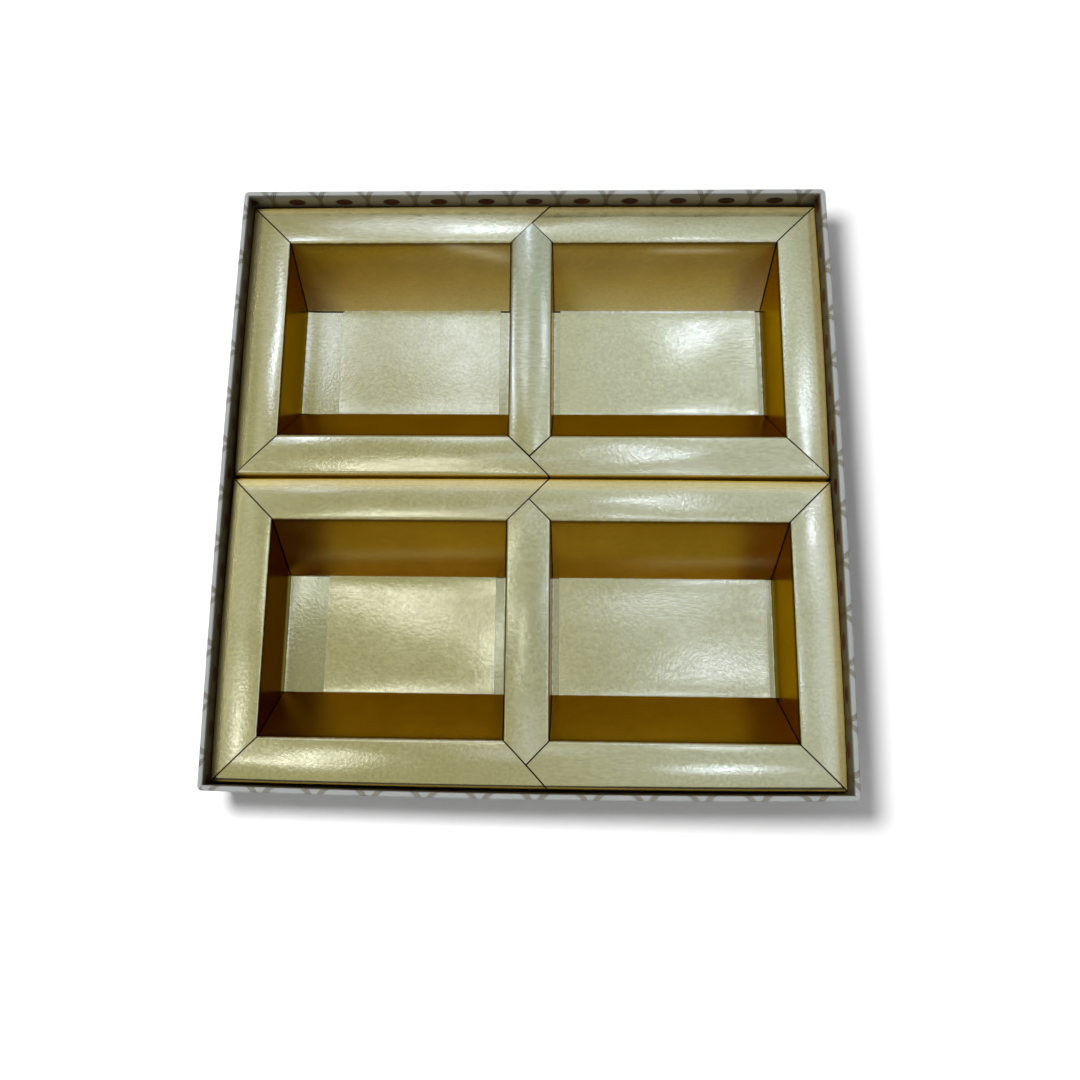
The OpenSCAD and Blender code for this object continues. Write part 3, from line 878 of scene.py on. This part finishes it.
def film_colour(r, place, clouds, peel, streaks):
    """Pale gold turns rich with the painted depth, which stands in for light bounced between gold
    walls and for shade, and turns dark past a depth of 1. Then come dullness and the painted shade
    along the divider, the mottle of the grain, painted streaks of light, worn dashes and a painted
    glint at creases and edges, and painted shade below a crease and along cut edges."""
    painted_bounce_shade = r.attribute("deep")
    # Painted depth of colour, deeper in a rim's soft outer band for the shade there
    painted_depth = r.math("MULTIPLY_ADD", r.attribute("soft"), SOFT_PAINTED_SHADE, painted_bounce_shade)
    # Pale gold turns to the painted gold of bounced light, and past a depth of 1 to painted dark
    # shade
    pale, rich = r.mix(clouds, *PALE_GOLD), r.mix(clouds, *PAINTED_BOUNCE_GOLD)
    gold = r.mix(r.math("MINIMUM", painted_depth, 1.0), pale, rich)
    gold = r.mix(r.math("SUBTRACT", painted_bounce_shade, 1.0, clamp=True), gold, PAINTED_DEEP_SHADE_GOLD)
    gold = r.mix(r.attribute("dull"), gold, DULL_AND_SHADED_GOLD)
    mottle = r.math("MULTIPLY_ADD", peel, 0.7, r.times(streaks, 0.3))
    dust = r.math("MULTIPLY_ADD", r.math("SUBTRACT", mottle, 0.5), 0.45, 0.98)
    gold = r.vector("SCALE", gold, Scale=dust)
    gold = r.mix(r.attribute("streak"), gold, LIGHT_STREAK_GOLD)

    to_crease, to_edge = r.attribute("to_crease"), r.attribute("to_edge")
    # Worn dashes at creases and cut edges, which also paint a glint there
    dashes = r.ramp(r.noise(place, 520.0, 3.0, 0.65), 0.44, 0.60)
    wear_and_glint = r.times(r.ramp(to_crease, 0.50, 0.12), dashes)
    edge = r.times(r.ramp(to_edge, 0.60, 0.35), dashes)
    bright = r.math("MAXIMUM", wear_and_glint, r.times(edge, 0.5))
    gold = r.mix(r.times(bright, 0.75), gold, WORN_AND_GLINT_GOLD)
    # Painted shade below a crease and along a cut edge
    under = r.times(r.attribute("under"), 0.7)
    return r.mix(r.math("MAXIMUM", under, r.ramp(to_edge, 0.25, 0.12)), gold, SHADED_GOLD)

# %% Gold board material
ROUGHNESS = (0.12, 0.15)
DEEP_ROUGHER, SOFT_ROUGHER, BOARD_ROUGHER = 0.12, 0.2, 0.35
STREAK_MATTE, SOFT_MATTE = 0.7, 0.45
COAT_WEIGHT = 0.4


def make_gold():
    """Metallic is 1 less what is matte. Roughness grows with the painted depth and with softness.
    The coat fades out at a painted depth of 0.5 and right at a cut edge."""
    material, r, shader = new_material("gold board")
    place = r.object_place()
    side, painted_bounce_shade, soft = r.attribute("good_side"), r.attribute("deep"), r.attribute("soft")
    foil = r.ramp(side, 0.75, 0.95)
    peel, streaks = foil_grain(r, place)
    clouds = r.ramp(r.noise(place, 60.0), 0.3, 0.7)
    gold = film_colour(r, place, clouds, peel, streaks)
    # White board on the reverse, and a cut edge painted dark for the shade in the slit
    board = r.mix(r.ramp(side, 0.20, 0.40), r.mix(clouds, *WHITE_BOARD), CUT_EDGE_PAINTED_SHADE)

    dry = r.math("MULTIPLY_ADD", r.attribute("streak"), STREAK_MATTE, r.attribute("matte"))
    dry = r.math("MULTIPLY_ADD", soft, SOFT_MATTE, dry)
    metal = r.math("SUBTRACT", 1.0, dry, clamp=True)
    rough = r.ramp(r.noise(place, 150.0), 0.3, 0.7, *ROUGHNESS)
    rough = r.math("MULTIPLY_ADD", r.math("MINIMUM", painted_bounce_shade, 1.0), DEEP_ROUGHER, rough)
    rough = r.math("MULTIPLY_ADD", soft, SOFT_ROUGHER, rough)
    rough = r.math("ADD", rough, r.ramp(foil, 1.0, 0.0, 0.0, BOARD_ROUGHER))
    coat = r.times(foil, r.ramp(painted_bounce_shade, 0.0, 0.5, COAT_WEIGHT, 0.0))
    coat = r.times(coat, r.ramp(r.attribute("to_edge"), 0.12, 0.25))
    bump = r.bump(peel, 0.15, 0.0001)
    r.fill(shader, {
        "Base Color": r.mix(foil, board, gold), "Metallic": r.times(foil, metal),
        "Roughness": rough, "Specular Tint": (0.80, 0.55, 0.20), "Normal": bump,
        "Coat Weight": coat, "Coat Roughness": 0.09, "Coat IOR": 1.6, "Coat Normal": bump,
    })
    return material


gold_board = make_gold()
for piece in long_strips + cross_strips:
    piece.data.materials.append(gold_board)
print("gold board:", len(gold_board.node_tree.nodes), "nodes")

# %% [markdown]
# ## Printed paper
#
# The wrap shows circles on a square grid, each of which touches its four neighbours. Each line
# is drawn as thin stripes of dull gold, and there is a small red oval in the middle of a circle.

# %% Touching circles
# In millimetres: a circle's radius, the pitch of the stripes in its line, the oval's half size
CIRCLE_R, STRIPE, OVAL = 8.58, 0.56, (3.1, 1.9)


def make_circles():
    """The distance of a point from a circle's line is |length(a) - r|, where a is the point
    wrapped into the circle's own square. The line is a band cut into stripes by a cosine."""
    r, given, result = node_group(
        "touching circles", [("Map", VECTOR)], [("Line", FLOAT), ("Dot", FLOAT)]
    )
    place = r.vector("MULTIPLY", given["Map"], (1000.0, 1000.0, 0.0))
    centre = r.node("ShaderNodeVectorMath", {
        0: place, 1: (CIRCLE_R,) * 3, 2: (-CIRCLE_R,) * 3
    }, operation="WRAP").outputs[0]
    near = r.math("ABSOLUTE", r.math("SUBTRACT", r.length(centre), CIRCLE_R))
    band = r.ramp(near, 0.80, 0.62)
    stripe = r.ramp(r.math("COSINE", r.times(near, 2 * math.pi / STRIPE)), -0.8, 0.3)
    oval = r.length(r.vector("MULTIPLY", centre, (1 / OVAL[0], 1 / OVAL[1], 0)))
    r.fill(result, {"Line": r.times(band, stripe), "Dot": r.ramp(oval, 1.12, 0.88)})
    return r.tree


circles = make_circles()
print("touching circles:", len(circles.nodes), "nodes")

# %% Printed paper material
WRAP_PAPER = (0.33, 0.345, 0.335), (0.41, 0.425, 0.415)
LINE_GOLD = (0.090, 0.065, 0.018)
OVAL_RED = (0.045, 0.001, 0.004)
INNER_SHADE = (0.045, 0.030, 0.008)
# A warm tint painted on for light bounced from the gold beside the paper
PAINTED_GOLD_BOUNCE_TINT = (1.0, 0.92, 0.68)
WRAP_REVERSE = (0.50, 0.49, 0.46)


def make_printed():
    """Prints lines and ovals on fibrous paper. Inside the box the print lies in shade, which shows
    less on the ovals, and it takes on a painted warm tint for light bounced from the gold beside
    it."""
    material, r, shader = new_material("printed paper")
    printed = r.group(circles, Map=r.node("ShaderNodeUVMap", uv_map="unrolled").outputs[0])
    fibre = r.group(paper_fibre, Place=r.object_place())
    colour = r.mix(fibre["Shade"], *WRAP_PAPER)
    colour = r.mix(r.times(printed["Line"], 0.95), colour, LINE_GOLD)
    colour = r.mix(printed["Dot"], colour, OVAL_RED)
    shade = r.times(r.attribute("inside"), r.ramp(printed["Dot"], 0, 1, 0.88, 0.15))
    colour = r.mix(shade, colour, INNER_SHADE)
    # Painted warm tint of light bounced from the gold
    colour = r.mix(r.attribute("warm"), colour, PAINTED_GOLD_BOUNCE_TINT, "MULTIPLY")
    good = r.ramp(r.attribute("good_side"), 0.75, 0.95)
    r.fill(shader, {
        "Base Color": r.mix(good, WRAP_REVERSE, colour),
        "Roughness": r.ramp(fibre["Shade"], 0.3, 0.7, 0.42, 0.56),
        "Specular IOR Level": 0.25, "Normal": r.bump(fibre["Height"], 0.25, 0.00004),
    })
    return material


printed_paper = make_printed()
wrap.data.materials.append(printed_paper)
print("printed paper:", len(printed_paper.node_tree.nodes), "nodes")

# %% [markdown]
# ## Board and plain papers
#
# Under the wrap the walls are grey recycled board with specks in it. The sheet below the box,
# the liner on its floor and the stays at its corners are plain papers.

# %% Plain boards and papers
def make_fibrous(name, dark, light, specks, rough):
    """Clouds of two close shades, with specks of a third of the dark one's brightness."""
    material, r, shader = new_material(name)
    place = r.object_place()
    fibre = r.group(paper_fibre, Place=place)
    colour = r.mix(r.ramp(fibre["Shade"], 0.3, 0.7), dark, light)
    speck = r.ramp(r.noise(place, 1500.0, 1.0, 0.4), 0.70, 0.76)
    colour = r.mix(r.times(speck, specks), colour, tuple(c * 0.35 for c in dark))
    r.fill(shader, {
        "Base Color": colour, "Normal": r.bump(fibre["Height"], 0.4, 0.00008),
        "Roughness": r.ramp(fibre["Shade"], 0.3, 0.7, rough, rough + 0.1),
    })
    return material


greyboard = make_fibrous("greyboard", (0.30, 0.27, 0.24), (0.38, 0.35, 0.31), 0.8, 0.8)
plain_paper = make_fibrous("plain paper", (0.70, 0.68, 0.62), (0.80, 0.78, 0.73), 0.15, 0.7)
stay_paper = make_fibrous("stay paper", (0.42, 0.28, 0.15), (0.52, 0.36, 0.20), 0.3, 0.65)

FINISH = {"base_paper": plain_paper, "floor_liner": plain_paper, "corner_stays": stay_paper}
for board in ("floor", "front_wall", "rear_wall", "left_wall", "right_wall"):
    FINISH[f"{board}_board"] = greyboard
for part, finish in FINISH.items():
    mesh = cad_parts[part].data
    mesh.materials.clear()
    mesh.materials.append(finish)
print("finished packed parts:", ", ".join(FINISH))

# %% [markdown]
# ## Floor and light
#
# On the photograph's white ground the shadow widens as below a near lamp. So one small lamp
# stands 0.4 m above the ground and lights nothing else. A large key light, behind the box on the
# left, lights all but the ground, and a soft world lights both.

# %% Floor
SHADOW_LAMP, SHADOW_LAMP_R = (-0.096, 0.006, 0.396), 0.0505
SHADOW_LAMP_LEVEL = 1.28
GROUND_WHITE, WANTED_LEVEL, LEAST_GLOW = 0.94, 0.84, 0.03
GROUND_REACH = 3.0


def make_ground():
    """Diffuse white that keeps the shadow. The lamp that casts it stands near, and its light
    falls off as (height / distance)^3, so the camera sees a glow that makes up for that."""
    material = bpy.data.materials.new("ground")
    r = empty_recipe(material)
    diffuse = r.node("ShaderNodeBsdfDiffuse", {"Color": (GROUND_WHITE,) * 3})
    far = r.length(r.vector("SUBTRACT", r.object_place(), SHADOW_LAMP))
    fall = r.math("POWER", r.math("DIVIDE", SHADOW_LAMP[2], far), 3.0)
    missing = r.math("MULTIPLY_ADD", fall, -GROUND_WHITE * SHADOW_LAMP_LEVEL, WANTED_LEVEL)
    path = r.node("ShaderNodeLightPath").outputs
    seen = r.math("MAXIMUM", path["Is Camera Ray"], path["Is Glossy Ray"])
    seen = r.math("MAXIMUM", seen, path["Is Transmission Ray"])
    glow = r.times(seen, r.math("MAXIMUM", missing, LEAST_GLOW))
    glow = r.node("ShaderNodeEmission", {"Color": (1, 1, 1), "Strength": glow})
    both = r.node("ShaderNodeAddShader", {0: diffuse.outputs[0], 1: glow.outputs[0]})
    r.node("ShaderNodeOutputMaterial", {"Surface": both.outputs[0]})
    return material


ground_mesh = bpy.data.meshes.new("ground")
corners = [(x * GROUND_REACH, y * GROUND_REACH, 0) for x, y in ((-1, -1), (1, -1), (1, 1), (-1, 1))]
ground_mesh.from_pydata(corners, [], [(0, 1, 2, 3)])
ground_mesh.materials.append(make_ground())
ground = new_object("ground", ground_mesh)
print("ground:", 2 * GROUND_REACH, "m wide")

# %% Lamps for the ground and the box
def add_lamp(name, kind, place, energy, hidden_from, **settings):
    """A lamp that neither the camera nor the named kinds of ray see."""
    data = bpy.data.lights.new(name, kind)
    data.energy = energy
    for key, value in settings.items():
        setattr(data, key, value)
    lamp = new_object(name, data)
    lamp.location = place
    for ray in ("camera", *hidden_from):
        setattr(lamp, f"visible_{ray}", False)
    return lamp


def light_only(lamp, name, state):
    """Lets a lamp light only the ground, or all but the ground."""
    chosen = bpy.data.collections.new(name)
    chosen.objects.link(ground)
    chosen.collection_objects[0].light_linking.link_state = state
    lamp.light_linking.receiver_collection = chosen


KEY_PLACE, KEY_SIZE = (-1.15, 0.58, 2.26), 1.2

# A white sheet gets P / (4 pi^2 d^2) from a point lamp and P / (pi^2 d^2) from a disk
near_power = SHADOW_LAMP_LEVEL * 4 * math.pi**2 * SHADOW_LAMP[2] ** 2
shadow_lamp = add_lamp(
    "shadow lamp", "POINT", SHADOW_LAMP, near_power, ["glossy"], shadow_soft_size=SHADOW_LAMP_R
)
light_only(shadow_lamp, "lit by the shadow lamp", "INCLUDE")
key_power = math.pi**2 * sum(v * v for v in KEY_PLACE)
key = add_lamp("key", "AREA", KEY_PLACE, key_power, ["glossy"], shape="DISK", size=KEY_SIZE)
key.rotation_euler = key.location.to_track_quat("Z", "Y").to_euler()
light_only(key, "not lit by the key", "EXCLUDE")
print("shadow lamp:", round(near_power, 1), "W, key:", round(key_power, 1), "W")

# %% [markdown]
# ## What the film mirrors
#
# Metal shows what it mirrors, and seen from above that is the ceiling. A tray's floor at (x, y)
# millimetres mirrors the place ((x - 5) / 332, (y + 86) / 332) of a ceiling one metre up, and on
# a rim the divisor is 309. So each highlight of the photograph gave the place of a lamp. Between
# the lamps the ceiling has a soft mid tone, and all round it is white.

# %% Ceiling lamps
# Place, half size and level. A lamp is cool unless it says warm.
CEILING_LAMPS = (
    ((-0.07, 0.600), (0.05, 0.018), 2.8),
    ((0.17, 0.457), (0.040, 0.007), 5.0),
    ((-0.09, 0.43), (0.06, 0.04), 0.6),
    ((-0.19, 0.45), (0.05, 0.04), 0.2),
    ((-0.28, 0.44), (0.025, 0.08), 2.0),
    ((0.37, 0.36), (0.030, 0.060), 1.5),
    ((0.12, 0.29), (0.05, 0.010), 3.0),
    ((-0.14, 0.195), (0.08, 0.006), 3.2, "warm"),
    ((-0.21, 0.160), (0.045, 0.012), 2.0, "warm"),
    ((-0.13, 0.135), (0.045, 0.014), 1.4, "warm"),
    ((-0.045, 0.10), (0.008, 0.035), 3.0, "warm"),
    ((0.33, 0.225), (0.020, 0.03), 2.6),
    ((0.13, 0.162), (0.08, 0.005), 3.0),
    ((0.18, 0.060), (0.045, 0.007), 3.4),
    ((0.19, -0.13), (0.045, 0.020), 2.4),
    ((-0.26, -0.08), (0.07, 0.020), 1.7, "warm"),
    ((-0.35, 0.005), (0.018, 0.04), 2.2, "warm"),
    ((-0.10, 0.57), (0.16, 0.05), 0.25),
    ((0.38, 0.10), (0.06, 0.25), 0.20),
    ((-0.38, 0.20), (0.06, 0.30), 0.15, "warm"),
    ((-0.15, 0.655), (0.12, 0.060), 0.55),
    ((0.06, 0.66), (0.06, 0.05), 0.35),
    ((-0.39, 0.52), (0.06, 0.06), 0.12),
    ((-0.39, 0.36), (0.06, 0.05), 0.12),
    ((-0.017, 0.24), (0.06, 0.02), 0.36),
    ((-0.017, -0.01), (0.06, 0.04), 0.22),
    ((0.40, 0.42), (0.07, 0.10), 0.12),
)
LAMP_TINT = {"cool": (0.85, 1.0, 2.1), "warm": (1.0, 1.08, 1.6)}
CEILING_HEIGHT = 20.0


def ceiling_lamp(number, place, half, level, tint="cool"):
    """A flat ellipse in the ceiling that only glossy surfaces see. Its place and half size are
    for a ceiling one metre up, so they grow with the height. Its power is level * pi * area."""
    x, y, half_x, half_y = (v * CEILING_HEIGHT for v in (*place, *half))
    add_lamp(
        f"ceiling lamp {number}", "AREA", (x, y, CEILING_HEIGHT),
        level * math.pi * math.pi * half_x * half_y, ["diffuse", "transmission"],
        shape="ELLIPSE", size=2 * half_x, size_y=2 * half_y, color=LAMP_TINT[tint],
    )


for number, lamp in enumerate(CEILING_LAMPS, 1):
    ceiling_lamp(number, *lamp)
print(len(CEILING_LAMPS), "ceiling lamps")

# %% World
CEILING_LEFT, CEILING_RIGHT = (0.39, 0.385, 0.30), (0.48, 0.52, 0.60)
CEILING_FAR = (0.28, 0.25, 0.20)
PANEL_PLACE, PANEL_HALF, PANEL_LEVEL = (0.06, 0.49, 0), (0.32, 0.17), 0.13
PANEL_TINT = (0.75, 0.95, 1.60)
SOFT_LEVEL, SOFT_FROM_REAR = 0.225, -0.20


def make_ceiling(r, way):
    """The ceiling that the film mirrors. p = direction / height is a place on a plane one metre
    up. It is dimmer far out and has one broad soft panel behind the box."""
    up = r.axis(way, "Z")
    scale = r.math("DIVIDE", 1.0, r.math("MAXIMUM", up, 0.05))
    p = r.vector("MULTIPLY", r.vector("SCALE", way, Scale=scale), (1, 1, 0))
    colour = r.mix(r.ramp(r.axis(p, "X"), -0.12, 0.20), CEILING_LEFT, CEILING_RIGHT)
    off = r.vector("SUBTRACT", p, PANEL_PLACE)
    off = r.vector("MULTIPLY", off, (1 / PANEL_HALF[0], 1 / PANEL_HALF[1], 0))
    panel = r.ramp(r.length(off), 1.3, 0.6, 0.0, PANEL_LEVEL)
    colour = r.vector("ADD", colour, r.vector("SCALE", PANEL_TINT, Scale=panel))
    colour = r.mix(r.ramp(r.length(p), 0.60, 1.20), colour, CEILING_FAR)
    return r.mix(r.ramp(up, 0.12, 0.02), colour, (1, 1, 1))


def make_world():
    """Film mirrors the ceiling. Everything else is lit by a soft level that is stronger from the
    front, and the camera sees white."""
    world = bpy.data.worlds.new("studio")
    r = empty_recipe(world)
    way = r.node("ShaderNodeTexCoord").outputs["Generated"]
    soft = r.math("MULTIPLY_ADD", r.axis(way, "Y"), SOFT_FROM_REAR, SOFT_LEVEL)
    path = r.node("ShaderNodeLightPath").outputs
    mirrored = r.math("MAXIMUM", path["Is Glossy Ray"], path["Is Transmission Ray"])
    colour = r.mix(mirrored, soft, make_ceiling(r, way))
    colour = r.mix(path["Is Camera Ray"], colour, (1, 1, 1))
    back = r.node("ShaderNodeBackground", {"Color": colour, "Strength": 1.0})
    r.node("ShaderNodeOutputWorld", {"Surface": back.outputs[0]})
    return world


bpy.context.scene.world = make_world()
bpy.context.scene.view_settings.view_transform = "Standard"
print("world:", len(bpy.context.scene.world.node_tree.nodes), "nodes")
